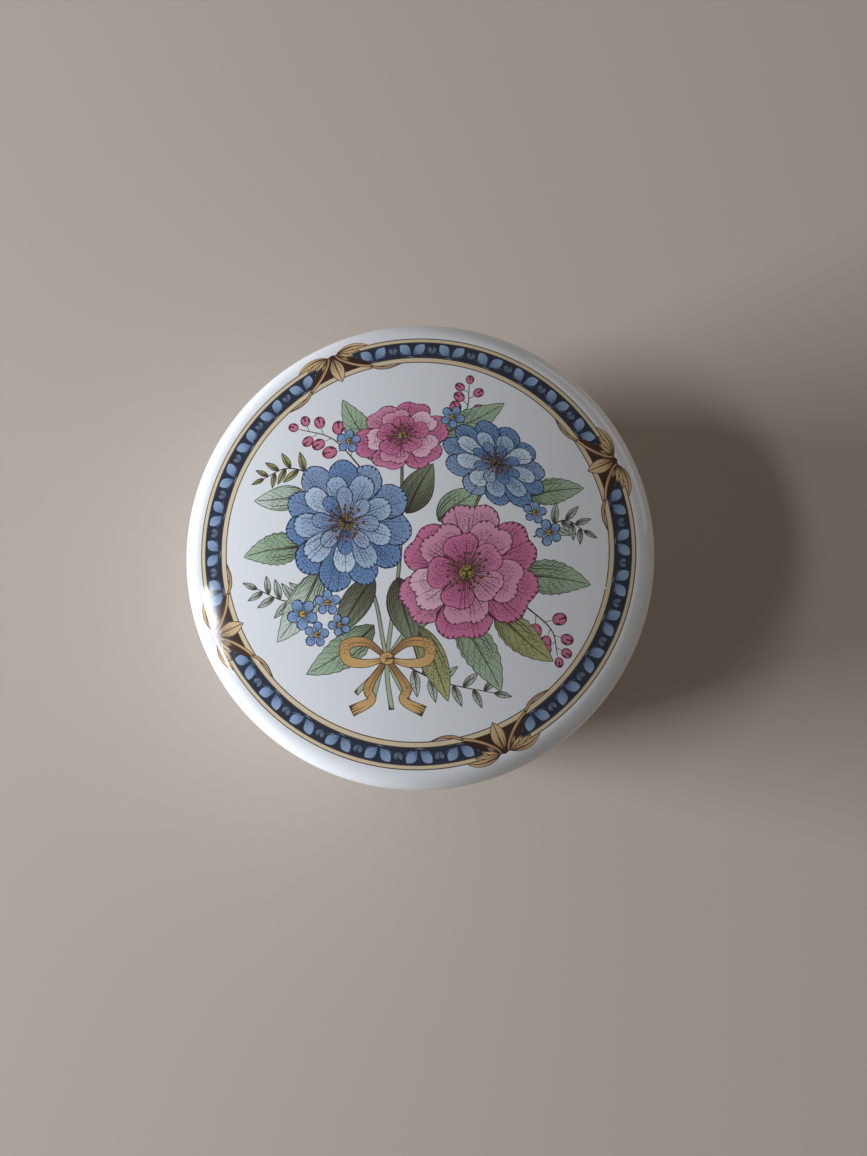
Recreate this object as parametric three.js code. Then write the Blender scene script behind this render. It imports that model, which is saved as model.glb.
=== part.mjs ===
// A round bone china trinket box: a footed base and a domed lift-off lid.
// Millimetres, +Z up. The origin is the middle of the circle that the foot stands on.
import * as THREE from 'three';

// Driving dimensions of the lid
const lidDiameter = 62;
const crownRadius = 150; // radius of the gentle dome across the middle
const shoulderRadius = 3.2; // radius of the rounded edge that turns the dome down
const skirtHeight = 6.5; // straight stretch below the shoulder
const lidWall = 2.3;

// Driving dimensions of the base
const lidOverhang = 0.5; // how far the lid stands out past the base
const ledgeHeight = 25.5; // from the table to the ledge that carries the lid
const baseWall = 2.6;
const floorThickness = 2.6;
const wallSwell = 0.25; // how far the side bows outwards at mid height
const heelRadius = 6; // rounded lower corner of the side
const footDiameter = 51;
const footWidth = 2.4;
const footHeight = 1.6;

// Raised lip that keeps the lid from sliding
const lipHeight = 2.8;
const lipWall = 1.9;
const lipTuck = 3; // height over which the inside wall draws in below the lip

// Fits and softened edges
const lidClearance = 0.4; // radial play between the lip and the lid
const seatGap = 0.3; // joint line between the ledge and the lid
const edgeRound = 0.45; // softened edges of the seat and the ledge
const footRound = 0.5; // softened edges of the foot ring

// How finely the round forms are divided
const turnSegments = 72;
const crownSteps = 8;
const shoulderSteps = 8;
const innerCrownSteps = 5;
const innerShoulderSteps = 6;
const heelSteps = 6;
const innerHeelSteps = 4;
const swellSteps = 4;
const lipSteps = 4;
const edgeSteps = 2;

const lidRadius = lidDiameter / 2;
const baseRadius = lidRadius - lidOverhang;
const footRadius = footDiameter / 2;
const innerLidRadius = lidRadius - lidWall;
const lipRadius = innerLidRadius - lidClearance;
const innerLipRadius = lipRadius - lipWall;
const innerBaseRadius = baseRadius - baseWall;
const lidSeatHeight = ledgeHeight + seatGap;
const quarterTurn = Math.PI / 2;

// Points of an arc in the profile plane, from one angle to another, both included
function arcPoints(centreR, centreZ, radius, fromAngle, toAngle, steps) {
  const points = [];
  for (let i = 0; i <= steps; i += 1) {
    const angle = fromAngle + ((toAngle - fromAngle) * i) / steps;
    points.push(new THREE.Vector2(
      centreR + radius * Math.cos(angle),
      centreZ + radius * Math.sin(angle),
    ));
  }
  return points;
}

function point(r, z) {
  return new THREE.Vector2(r, z);
}

// Leaves out a point that repeats the one before it
function withoutRepeats(points) {
  const closest = 1e-6;
  return points.filter((p, i) => i === 0 || p.distanceTo(points[i - 1]) > closest);
}

// Turns a profile, given from the axis round the outside and back, into a solid about Z
function turned(points) {
  const geometry = new THREE.LatheGeometry(withoutRepeats(points), turnSegments);
  geometry.rotateX(quarterTurn);
  return geometry;
}

// The lower end of a wall between two radii, with both of its edges rounded
function roundedFoot(innerR, outerR, centreZ, radius) {
  return [
    ...arcPoints(innerR + radius, centreZ, radius, 2 * quarterTurn, 3 * quarterTurn, edgeSteps),
    ...arcPoints(outerR - radius, centreZ, radius, 3 * quarterTurn, 4 * quarterTurn, edgeSteps),
  ];
}

// One skin of the lid, from the skirt's lower end up over the shoulder to the axis.
// Both skins share the dome's centre, so an inset gives an inside parallel to the outside.
// The inside corner stays a little round however thick the wall is.
function lidSkin(inset, bottomZ, shoulderSegments, crownSegments) {
  const outerArm = Math.sqrt(
    (crownRadius - shoulderRadius) ** 2 - (lidRadius - shoulderRadius) ** 2);
  const crownCentreZ = lidSeatHeight + skirtHeight - outerArm;
  const roundRadius = Math.max(shoulderRadius - inset, lidWall / 4);
  const domeRadius = crownRadius - inset;
  const roundCentreR = lidRadius - inset - roundRadius;
  const arm = Math.sqrt((domeRadius - roundRadius) ** 2 - roundCentreR ** 2);
  const joinAngle = Math.atan2(arm, roundCentreR);
  const shoulder = arcPoints(
    roundCentreR, crownCentreZ + arm, roundRadius, 0, joinAngle, shoulderSegments);
  const crown = arcPoints(0, crownCentreZ, domeRadius, joinAngle, quarterTurn, crownSegments);
  crown[crown.length - 1].x = 0;
  return [point(lidRadius - inset, bottomZ), ...shoulder, ...crown];
}

function lidGeometry() {
  const softened = Math.min(edgeRound, lidWall / 3);
  const softenedZ = lidSeatHeight + softened;
  const seatEdges = roundedFoot(innerLidRadius, lidRadius, softenedZ, softened);
  const inside = lidSkin(lidWall, softenedZ, innerShoulderSteps, innerCrownSteps).reverse();
  const outside = lidSkin(0, softenedZ, shoulderSteps, crownSteps);
  return turned([...inside, ...seatEdges, ...outside]);
}

// The side of the base from the heel to the ledge, bowed outwards by the swell
function sidePoints(bottomZ, topZ) {
  const points = [];
  for (let i = 0; i <= swellSteps; i += 1) {
    const share = i / swellSteps;
    points.push(point(
      baseRadius + wallSwell * Math.sin(Math.PI * share),
      bottomZ + (topZ - bottomZ) * share,
    ));
  }
  return points;
}

function baseGeometry() {
  const heelCentreR = baseRadius - heelRadius;
  const heelCentreZ = footHeight + heelRadius;
  const heelReach = Math.min(1, Math.max(0, (footRadius - heelCentreR) / heelRadius));
  const heelStart = -Math.acos(heelReach);
  const softened = Math.min(footRound, footWidth / 3, footHeight / 2);
  const footEdges = roundedFoot(footRadius - footWidth, footRadius, softened, softened);
  const heel = arcPoints(heelCentreR, heelCentreZ, heelRadius, heelStart, 0, heelSteps);
  const ledgeSoftened = Math.min(edgeRound, (baseRadius - lipRadius) / 3);
  const side = sidePoints(heelCentreZ, ledgeHeight - ledgeSoftened);
  const ledgeEdge = arcPoints(
    baseRadius - ledgeSoftened, ledgeHeight - ledgeSoftened, ledgeSoftened, 0, quarterTurn, edgeSteps);

  const lipTop = ledgeHeight + lipHeight;
  const lipRound = lipWall / 2;
  const lip = arcPoints(lipRadius - lipRound, lipTop - lipRound, lipRound, 0, 2 * quarterTurn, lipSteps);

  const floorZ = footHeight + floorThickness;
  const innerHeelRadius = Math.max(heelRadius - baseWall, baseWall / 2);
  const innerHeel = arcPoints(
    innerBaseRadius - innerHeelRadius, floorZ + innerHeelRadius, innerHeelRadius,
    0, -quarterTurn, innerHeelSteps);

  return turned([
    point(0, footHeight),
    point(footRadius - footWidth, footHeight),
    ...footEdges,
    ...heel,
    ...side,
    ...ledgeEdge,
    point(lipRadius, ledgeHeight),
    ...lip,
    point(innerLipRadius, ledgeHeight),
    point(innerBaseRadius, ledgeHeight - lipTuck),
    ...innerHeel,
    point(0, floorZ),
  ]);
}

function china(colour, roughness) {
  return new THREE.MeshStandardMaterial({ color: colour, roughness, metalness: 0 });
}

function piece(name, geometry, material) {
  const mesh = new THREE.Mesh(geometry, material);
  mesh.name = name;
  return mesh;
}

const trinketBox = new THREE.Group();
trinketBox.name = 'trinket_box';
trinketBox.add(piece('base', baseGeometry(), china(0xeeece4, 0.16)));
trinketBox.add(piece('lid', lidGeometry(), china(0xf1efe8, 0.14)));

export default trinketBox;
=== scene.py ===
import math

import bmesh
import bpy
import numpy as np
from mathutils import Matrix, Vector
from mathutils.geometry import delaunay_2d_cdt


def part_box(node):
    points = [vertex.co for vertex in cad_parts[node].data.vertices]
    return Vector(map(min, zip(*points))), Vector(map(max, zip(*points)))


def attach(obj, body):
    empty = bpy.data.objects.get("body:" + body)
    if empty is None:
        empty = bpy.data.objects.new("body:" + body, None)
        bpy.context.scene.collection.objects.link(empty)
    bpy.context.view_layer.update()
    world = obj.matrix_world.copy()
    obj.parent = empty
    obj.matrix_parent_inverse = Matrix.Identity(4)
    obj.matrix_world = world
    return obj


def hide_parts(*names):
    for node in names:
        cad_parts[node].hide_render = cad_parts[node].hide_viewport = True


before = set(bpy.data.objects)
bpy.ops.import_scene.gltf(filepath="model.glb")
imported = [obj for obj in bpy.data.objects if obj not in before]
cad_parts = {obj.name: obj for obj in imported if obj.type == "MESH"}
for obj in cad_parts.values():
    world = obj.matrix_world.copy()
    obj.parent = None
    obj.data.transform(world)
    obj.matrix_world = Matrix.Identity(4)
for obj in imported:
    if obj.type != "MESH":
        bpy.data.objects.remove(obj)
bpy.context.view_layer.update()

mm = 0.001  # sizes below are in millimetres, and the scene is in metres
fullTurn = 2 * math.pi


# Small helpers for node trees

def place(tree, kind, inputs=None, **settings):
    node = tree.nodes.new(kind)
    for name, value in settings.items():
        setattr(node, name, value)
    for name, value in (inputs or {}).items():
        if isinstance(value, bpy.types.NodeSocket):
            tree.links.new(value, node.inputs[name])
        else:
            node.inputs[name].default_value = value
    return node


def maths(tree, operation, *values, clamp=False):
    node = place(tree, "ShaderNodeMath", dict(enumerate(values)), operation=operation)
    node.use_clamp = clamp
    return node.outputs[0]


def axisOf(tree, vector, axis):
    return place(tree, "ShaderNodeSeparateXYZ", {0: vector}).outputs[axis]


# Distance from the Z axis
def radiusOf(tree, position):
    flat = place(tree, "ShaderNodeVectorMath", {0: position, 1: (1, 1, 0)}, operation="MULTIPLY")
    return place(tree, "ShaderNodeVectorMath", {0: flat.outputs[0]}, operation="LENGTH").outputs["Value"]


def newTree(name, kind, inputs, outputs):
    tree = bpy.data.node_groups.new(name, kind)
    for label, socketType, default in inputs:
        socket = tree.interface.new_socket(name=label, in_out="INPUT", socket_type=socketType)
        if default is not None:
            socket.default_value = default
    for label, socketType in outputs:
        tree.interface.new_socket(name=label, in_out="OUTPUT", socket_type=socketType)
    given = tree.nodes.new("NodeGroupInput")
    result = tree.nodes.new("NodeGroupOutput")
    return tree, given.outputs, result


def socketKey(tree, label):
    return next(item.identifier for item in tree.interface.items_tree
                if item.item_type == "SOCKET" and item.in_out == "INPUT" and item.name == label)


def added(name, data):
    thing = bpy.data.objects.new(name, data)
    bpy.context.scene.collection.objects.link(thing)
    return thing


# Runs a Geometry Nodes tree on a mesh and gives the result back as a plain mesh
def grown(name, mesh, tree, values):
    holder = added(name, mesh)
    modifier = holder.modifiers.new(tree.name, "NODES")
    modifier.node_group = tree
    for label, value in values.items():
        modifier[socketKey(tree, label)] = value
    graph = bpy.context.evaluated_depsgraph_get()
    plain = bpy.data.meshes.new_from_object(
        holder.evaluated_get(graph), preserve_all_data_layers=True, depsgraph=graph)
    holder.modifiers.remove(modifier)
    bpy.data.objects.remove(holder)
    plain.name = name
    return plain


# The camera looks almost straight down at the lid, as the picture does

viewpoint = {
    "place": (7.9, -16.0, 141.8),
    "target": (2.5, -4.35, 39.5),
    "lens": 26.0,
    "sensorHeight": 36.0,
    "nearest": 10.0,
}


def makeCamera(settings):
    data = bpy.data.cameras.new("camera")
    data.sensor_fit = "VERTICAL"
    data.sensor_height = settings["sensorHeight"]
    data.lens = settings["lens"]
    data.clip_start = settings["nearest"] * mm
    camera = added("camera", data)
    eye = Vector(settings["place"]) * mm
    back = (eye - Vector(settings["target"]) * mm).normalized()
    right = Vector((0, 1, 0)).cross(back).normalized()
    turn = Matrix((right, back.cross(right), back)).transposed()
    camera.matrix_world = Matrix.Translation(eye) @ turn.to_4x4()
    bpy.context.scene.camera = camera


makeCamera(viewpoint)


# Profiles of the turned china. Each point is (r, z, outward normal's r, its z), and a
# profile runs with the china on its left.

def arcRun(centreR, centreZ, radius, fromAngle, toAngle, steps, side=1):
    run = []
    for step in range(steps + 1):
        angle = fromAngle + (toAngle - fromAngle) * step / steps
        c, s = math.cos(angle), math.sin(angle)
        run.append((centreR + radius * c, centreZ + radius * s, side * c, side * s))
    return run


# A run of straight stretches whose corners are rounded: each corner is (r, z, radius)
def roundedRun(corners, steps):
    run = []
    for index, (r, z, radius) in enumerate(corners):
        here = Vector((r, z))
        into = (here - Vector(corners[index - 1][:2])).normalized() if index else None
        last = index == len(corners) - 1
        out = None if last else (Vector(corners[index + 1][:2]) - here).normalized()
        into, out = into or out, out or into
        turn = math.atan2(into.cross(out), into.dot(out))
        reach = radius * math.tan(abs(turn) / 2)
        for step in range(steps + 1 if radius else 1):
            bend = turn * step / steps
            along = Matrix.Rotation(bend, 2) @ into
            side = math.copysign(1, turn)
            hub = here - into * reach + Vector((-into.y, into.x)) * radius * side
            spot = hub + Vector((along.y, -along.x)) * radius * side if radius else here
            run.append((spot.x, spot.y, along.y, -along.x))
    return run


def profileMesh(name, run):
    mesh = bpy.data.meshes.new(name)
    points = [(r * mm, 0, z * mm) for r, z, _, _ in run]
    mesh.from_pydata(points, [(i, i + 1) for i in range(len(run) - 1)], [])
    normals = mesh.attributes.new("trueNormal", "FLOAT_VECTOR", "POINT")
    normals.data.foreach_set("vector", [v for _, _, nr, nz in run for v in (nr, 0, nz)])
    return mesh


weldReach = 0.001  # points of a turned mesh closer than this become one
seamReach = 0.002  # the same where a turned wall meets a top


# Turns a profile about Z, carrying its normals round with it
def turningTree():
    tree, given, result = newTree(
        "turn profile", "GeometryNodeTree",
        [("Profile", "NodeSocketGeometry", None), ("Segments", "NodeSocketInt", 256)],
        [("Turned", "NodeSocketGeometry")])
    size = place(
        tree, "GeometryNodeAttributeDomainSize", {"Geometry": given["Profile"]}, component="MESH")
    rows = size.outputs["Point Count"]
    grid = place(tree, "GeometryNodeMeshGrid", {
        "Size X": 1.0, "Size Y": 1.0, "Vertices Y": rows,
        "Vertices X": maths(tree, "ADD", given["Segments"], 1.0)})
    position = tree.nodes.new("GeometryNodeInputPosition").outputs[0]
    spot = place(tree, "ShaderNodeSeparateXYZ", {0: position})
    angle = maths(tree, "MULTIPLY", maths(tree, "ADD", spot.outputs["X"], 0.5), fullTurn)
    row = maths(tree, "ROUND", maths(
        tree, "MULTIPLY", maths(tree, "ADD", spot.outputs["Y"], 0.5), maths(tree, "SUBTRACT", rows, 1.0)))
    named = place(tree, "GeometryNodeInputNamedAttribute", {"Name": "trueNormal"}, data_type="FLOAT_VECTOR")
    turned = []
    for value in (position, named.outputs[0]):
        sample = place(
            tree, "GeometryNodeSampleIndex",
            {"Geometry": given["Profile"], "Value": value, "Index": row},
            data_type="FLOAT_VECTOR", domain="POINT")
        swing = place(
            tree, "ShaderNodeVectorRotate", {"Vector": sample.outputs[0], "Angle": angle},
            rotation_type="Z_AXIS")
        turned.append(swing.outputs[0])
    stored = place(tree, "GeometryNodeStoreNamedAttribute", {
        "Geometry": grid.outputs["Mesh"], "Name": "trueNormal", "Value": turned[1]},
        data_type="FLOAT_VECTOR", domain="POINT")
    moved = place(tree, "GeometryNodeSetPosition", {
        "Geometry": stored.outputs[0], "Position": turned[0]})
    welded = place(tree, "GeometryNodeMergeByDistance", {
        "Geometry": moved.outputs[0], "Distance": weldReach * mm})
    tree.links.new(welded.outputs[0], result.inputs["Turned"])
    return tree


# A turned piece on its own, or joined to a top that is made separately and meets the
# end of the profile on a ring of the same number of points
def potteryTree(turning):
    tree, given, result = newTree(
        "turned china", "GeometryNodeTree",
        [("Top", "NodeSocketGeometry", None), ("Profile", "NodeSocketObject", None),
         ("Segments", "NodeSocketInt", 256), ("Seam Radius", "NodeSocketFloat", 0.0),
         ("China", "NodeSocketMaterial", None)],
        [("Geometry", "NodeSocketGeometry")])
    source = place(tree, "GeometryNodeObjectInfo", {"Object": given["Profile"]})
    wall = place(tree, "GeometryNodeGroup", {
        "Profile": source.outputs["Geometry"], "Segments": given["Segments"]}, node_tree=turning)
    both = place(tree, "GeometryNodeJoinGeometry")
    tree.links.new(given["Top"], both.inputs[0])
    tree.links.new(wall.outputs["Turned"], both.inputs[0])
    radius = radiusOf(tree, tree.nodes.new("GeometryNodeInputPosition").outputs[0])
    onSeam = maths(tree, "COMPARE", radius, given["Seam Radius"], seamReach * mm)
    seam = place(tree, "GeometryNodeMergeByDistance", {
        "Geometry": both.outputs[0], "Selection": onSeam, "Distance": seamReach * mm})
    real = place(tree, "GeometryNodeRealizeInstances", {"Geometry": seam.outputs[0]})
    glazed = place(tree, "GeometryNodeSetMaterial", {
        "Geometry": real.outputs[0], "Material": given["China"]})
    tree.links.new(glazed.outputs[0], result.inputs["Geometry"])
    return tree


def profileObject(name, run):
    return added(name, profileMesh(name, run))


# Points every face outwards, then sets the true normals of the turned form
def finishTurned(mesh):
    shell = bmesh.new()
    shell.from_mesh(mesh)
    bmesh.ops.recalc_face_normals(shell, faces=shell.faces)
    shell.to_mesh(mesh)
    shell.free()
    count = len(mesh.vertices)
    normals = np.empty(count * 3, np.float32)
    mesh.attributes["trueNormal"].data.foreach_get("vector", normals)
    mesh.polygons.foreach_set("use_smooth", [True] * len(mesh.polygons))
    mesh.normals_split_custom_set_from_vertices(normals.reshape(-1, 3).tolist())
    mesh.attributes.remove(mesh.attributes["trueNormal"])


# A UV map on which the printed top takes most of the room. The sides,
# the seat and the inside, all plain china, lie in strips and a corner around it.
printMap = {
    "name": "OFBake",
    "topReach": 0.44,
    "underCentre": (0.075, 0.13),
    "underReach": 0.065,
    "outsideStrip": (0.006, 0.05),
    "innerStrip": (0.952, 0.97),
    "seatStrip": (0.976, 0.994),
    "margin": 0.004,
    "shoulderRoom": 1.0,  # how far past the skirt the outside strip goes on
    "downward": -0.3,  # a face whose normal's z is below this looks down
    "seatDepth": 1.0,  # downward faces lower than this are the seat
    "underFrom": 2.0,  # and those higher than this the lid's underside
}


# For each corner of a mesh: its place, and its face's normal and middle
def cornerFacts(mesh):
    corners = np.empty(len(mesh.vertices) * 3)
    mesh.vertices.foreach_get("co", corners)
    which = np.empty(len(mesh.loops), int)
    mesh.loops.foreach_get("vertex_index", which)
    spots = corners.reshape(-1, 3)[which] / mm
    faceSizes = np.empty(len(mesh.polygons), int)
    mesh.polygons.foreach_get("loop_total", faceSizes)
    face = np.repeat(np.arange(len(faceSizes)), faceSizes)
    facing = np.empty(len(faceSizes) * 3)
    mesh.polygons.foreach_get("normal", facing)
    middle = np.stack([np.bincount(face, spots[:, k]) / faceSizes for k in range(3)], 1)
    return spots, facing.reshape(-1, 3)[face], middle[face]


def layMap(mesh, form, settings):
    spots, facing, middle = cornerFacts(mesh)
    reach = np.hypot(spots[:, 0], spots[:, 1])
    turn = np.arctan2(spots[:, 1], spots[:, 0])
    middleTurn = np.arctan2(middle[:, 1], middle[:, 0])
    turn += fullTurn * np.round((middleTurn - turn) / fullTurn)
    around = settings["margin"] + (turn / fullTurn + 0.5) * (1 - 2 * settings["margin"])
    height = spots[:, 2] - form["seat"]
    skirt = form["top"] - form["seat"]

    def strip(key, share):
        low, high = settings[key]
        return np.column_stack([around, low + (high - low) * np.clip(share, 0, 1)])

    down = facing[:, 2] < settings["downward"]
    inward = (facing[:, :2] * middle[:, :2]).sum(1) <= 0
    printed = (facing[:, 2] > 0) & (np.hypot(middle[:, 0], middle[:, 1]) < form["printedRadius"])
    inPlan = spots[:, :2]
    places = strip("outsideStrip", (height + form["radius"] - reach) / (skirt + settings["shoulderRoom"]))
    for chosen, there in (
            (inward, strip("innerStrip", height / skirt)),
            (down & (middle[:, 2] < form["seat"] + settings["seatDepth"]),
             strip("seatStrip", (form["radius"] - reach) / form["wall"])),
            (down & (middle[:, 2] > form["seat"] + settings["underFrom"]),
             settings["underCentre"] + inPlan / form["radius"] * settings["underReach"]),
            (printed, 0.5 + inPlan / form["printedRadius"] * settings["topReach"])):
        places[chosen] = there[chosen]
    mesh.uv_layers.new(name=settings["name"]).data.foreach_set("uv", places.ravel())


def asPiece(name, mesh, node):
    piece = added(name, mesh)
    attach(piece, "root")
    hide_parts(node)
    return piece


# The lid's form. Its radius and heights come from the frame.

lidLow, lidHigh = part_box("lid")

lidForm = {
    "radius": lidHigh.x / mm,
    "seat": lidLow.z / mm,
    "top": lidHigh.z / mm,
    "crownRadius": 150.0,
    "shoulderRadius": 3.2,
    "wall": 2.3,
    "overhang": 0.5,  # how far it stands out past the base
    "seatGap": 0.3,  # the joint line between the base's ledge and the lid
    "insideCorner": 0.9,
    "edgeRound": 0.45,
    "printedRadius": 29.2,
    "ringsFrom": 5.0,  # the border's rings show on faces this far above the seat
    "segments": 256,
    "crownSteps": 8,
    "shoulderSteps": 14,
    "edgeSteps": 4,
}


# Centre height of the dome, centre of the shoulder, and the angle where the two meet
def skinCentres(form, inset, shoulder):
    domeZ = form["top"] - form["crownRadius"]
    dome = form["crownRadius"] - inset
    hubR = form["radius"] - inset - shoulder
    arm = math.sqrt((dome - shoulder) ** 2 - hubR ** 2)
    return domeZ, hubR, domeZ + arm, math.atan2(arm, hubR)


def lidRun(form):
    wall, soft = form["wall"], form["edgeRound"]
    seat, outer = form["seat"], form["radius"]
    inner = outer - wall
    domeZ, hubR, hubZ, join = skinCentres(form, wall, form["insideCorner"])
    inside = arcRun(0, domeZ, form["crownRadius"] - wall, fullTurn / 4, join, form["crownSteps"], -1)
    inside[0] = (0.0, *inside[0][1:])
    inside += arcRun(hubR, hubZ, form["insideCorner"], join, 0, form["edgeSteps"] * 2, -1)[1:]
    edges = arcRun(
        inner + soft, seat + soft, soft, fullTurn / 2, fullTurn * 3 / 4, form["edgeSteps"])
    edges += arcRun(outer - soft, seat + soft, soft, -fullTurn / 4, 0, form["edgeSteps"])
    domeZ, hubR, hubZ, join = skinCentres(form, 0, form["shoulderRadius"])
    stop = math.acos((form["printedRadius"] - hubR) / form["shoulderRadius"])
    return inside + edges + arcRun(
        hubR, hubZ, form["shoulderRadius"], 0, stop, form["shoulderSteps"])


# Height and true normal of the lid's outside at points given in plan
def onLid(form, plan):
    domeZ, hubR, hubZ, join = skinCentres(form, 0, form["shoulderRadius"])
    r = np.hypot(plan[:, 0], plan[:, 1])
    crown, shoulder = form["crownRadius"], form["shoulderRadius"]
    onDome = r <= hubR + shoulder * math.cos(join)
    over = np.maximum(r - hubR, 0)
    height = np.where(
        onDome, domeZ + np.sqrt(crown ** 2 - r ** 2),
        hubZ + np.sqrt(np.maximum(shoulder ** 2 - over ** 2, 0)))
    slope = np.where(onDome, r / crown, over / shoulder)
    away = plan / np.maximum(r, 1e-9)[:, None]
    normals = np.column_stack([away * slope[:, None], np.sqrt(1 - slope ** 2)])
    return height, normals


# Print colours, as (red, green, blue) out of 255

def paint(red, green, blue):
    shares = [value / 255 for value in (red, green, blue)]
    return [s / 12.92 if s <= 0.04045 else ((s + 0.055) / 1.055) ** 2.4 for s in shares]


sepia = paint(72, 52, 46)
navyInk = paint(38, 40, 56)
wineInk = paint(92, 40, 58)
ringOchre = paint(226, 207, 172)
ringBrown = paint(108, 84, 68)
ringNavy = paint(52, 58, 74)

# How each printed patch is coloured and engraved. "gap" is the space between hatch lines,
# "reach" and "tipReach" how far they run in from its root and tip, "veins" its side veins,
# "rib" whether it has a middle line, "dots" how much of it is stippled, "fade" how far
# some copies of it pale and "outline" the width of its outline.
printFinishes = {
    "pinkPetal": dict(fill=paint(220, 130, 168), root=paint(162, 70, 110), ink=wineInk,
                      gap=0.36, reach=0.72, tipReach=0.05, dots=0.3, fade=0.25),
    "palePinkPetal": dict(fill=paint(232, 166, 192), root=paint(182, 90, 130), ink=wineInk,
                          gap=0.36, reach=0.68, tipReach=0.05, dots=0.25, fade=0.35),
    "bluePetal": dict(fill=paint(122, 154, 198), root=paint(68, 90, 136), ink=navyInk,
                      gap=0.36, reach=0.74, tipReach=0.05, dots=0.35, fade=0.3),
    "paleBluePetal": dict(fill=paint(178, 201, 225), root=paint(92, 120, 166), ink=navyInk,
                          gap=0.36, reach=0.7, tipReach=0.05, dots=0.3, fade=0.4),
    "sageLeaf": dict(fill=paint(184, 206, 176), root=paint(138, 164, 132), ink=sepia,
                     gap=0.4, reach=0.5, veins=9, rib=1, dots=0.25, fade=0.1),
    "paleLeaf": dict(fill=paint(220, 230, 218), root=paint(166, 188, 162), ink=sepia,
                     gap=0.4, reach=0.55, veins=8, rib=1, dots=0.25),
    "oliveLeaf": dict(fill=paint(196, 196, 136), root=paint(150, 156, 106), ink=sepia,
                      gap=0.36, reach=0.6, veins=7, rib=1, dots=0.3),
    "darkLeaf": dict(fill=paint(146, 158, 130), root=paint(92, 96, 78), ink=sepia,
                     gap=0.3, reach=1.0, veins=7, rib=1, dots=0.2),
    "stem": dict(fill=paint(190, 200, 168), root=paint(150, 160, 130), ink=sepia,
                 gap=0.3, reach=0.5),
    "thread": dict(fill=sepia, root=sepia, ink=sepia),
    "ochre": dict(fill=paint(234, 194, 130), root=paint(196, 144, 92), ink=sepia,
                  gap=0.3, reach=0.4, tipReach=0.2, dots=0.2),
    "anther": dict(fill=paint(236, 190, 90), root=paint(214, 150, 66), ink=sepia),
    "eye": dict(fill=paint(214, 186, 104), root=paint(140, 130, 78), ink=sepia,
                gap=0.3, reach=0.9, dots=0.8),
    "darkEye": dict(fill=paint(176, 146, 92), root=paint(60, 56, 62), ink=navyInk,
                    gap=0.3, reach=0.9, dots=0.8),
    "berry": dict(fill=paint(206, 104, 134), root=paint(222, 150, 172), ink=wineInk,
                  gap=0.3, tipReach=0.5),
    "tinyBlue": dict(fill=paint(146, 174, 214), root=paint(98, 128, 178), ink=navyInk,
                     gap=0.3, reach=0.5),
    "bandLeaf": dict(fill=paint(160, 184, 214), root=paint(98, 122, 160), ink=navyInk,
                     gap=0.26, reach=0.35, outline=0.07),
    "bandBud": dict(fill=paint(124, 138, 158), root=paint(74, 82, 100), ink=navyInk, outline=0.06),
    "bandGlint": dict(fill=paint(176, 190, 206), root=paint(120, 134, 156), ink=navyInk, outline=0.02),
    "tieGround": dict(fill=paint(74, 54, 46), root=paint(60, 42, 38), ink=sepia),
    "tieLeaf": dict(fill=paint(234, 204, 158), root=paint(188, 148, 108), ink=sepia,
                    gap=0.3, reach=0.5, rib=1),
    "tieLobe": dict(fill=paint(234, 202, 152), root=paint(190, 150, 106), ink=sepia,
                    gap=0.3, reach=0.42, rib=1, outline=0.08),
    "tieStem": dict(fill=paint(216, 180, 134), root=paint(178, 136, 98), ink=sepia),
    "tieBeads": dict(fill=paint(186, 146, 106), root=paint(206, 168, 124), ink=sepia, veins=16),
}
finishNames = list(printFinishes)


smallestArea = 1e-5  # triangles of print smaller than this are left out


# A patch of print is a grid of points in plan: rows run along it from root to tip and
# columns across it. It is kept as triangles with three values a point: how far along it
# is, how far across, and how far in from its outline.
def patch(grid, finish):
    rows, columns = grid.shape[:2]
    points = grid.reshape(-1, 2)
    along, across = np.meshgrid(np.linspace(0, 1, rows), np.linspace(-1, 1, columns), indexing="ij")
    rim = np.concatenate([grid[0], grid[1:, -1], grid[-1, -2::-1], grid[-2:0:-1, 0]])
    ahead = np.roll(rim, -1, 0) - rim
    length = np.maximum((ahead ** 2).sum(1), 1e-12)
    offset = points[:, None] - rim[None]
    share = np.clip((offset * ahead).sum(2) / length, 0, 1)
    inset = np.hypot(*np.moveaxis(offset - share[..., None] * ahead, 2, 0)).min(1)
    index = np.arange(rows * columns).reshape(rows, columns)
    a, b, c, d = (part.ravel() for part in (
        index[:-1, :-1], index[1:, :-1], index[1:, 1:], index[:-1, 1:]))
    triangles = np.concatenate([np.column_stack([a, b, c]), np.column_stack([a, c, d])])
    corner = points[triangles]
    first, second = corner[:, 1] - corner[:, 0], corner[:, 2] - corner[:, 0]
    area = first[:, 0] * second[:, 1] - first[:, 1] * second[:, 0]
    triangles[area < 0] = triangles[area < 0][:, ::-1]
    return {
        "points": points,
        "triangles": triangles[np.abs(area) > smallestArea],
        "coords": np.column_stack([along.ravel(), across.ravel(), inset]),
        "finish": np.full(len(points), finishNames.index(finish)),
        "seed": np.zeros(len(points)),
        "breadth": np.full(len(points), inset.max()),
    }


pointValues = ("points", "coords", "finish", "seed", "breadth")


def joined(parts):
    starts = np.cumsum([0] + [len(part["points"]) for part in parts])
    whole = {key: np.concatenate([part[key] for part in parts]) for key in pointValues}
    whole["triangles"] = np.concatenate(
        [part["triangles"] + start for part, start in zip(parts, starts)])
    return whole


def moved(part, shift=(0, 0), turn=0.0, scale=(1, 1)):
    c, s = math.cos(turn), math.sin(turn)
    points = (part["points"] * scale) @ np.array([[c, s], [-s, c]]) + shift
    return {**part, "points": points}


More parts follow.
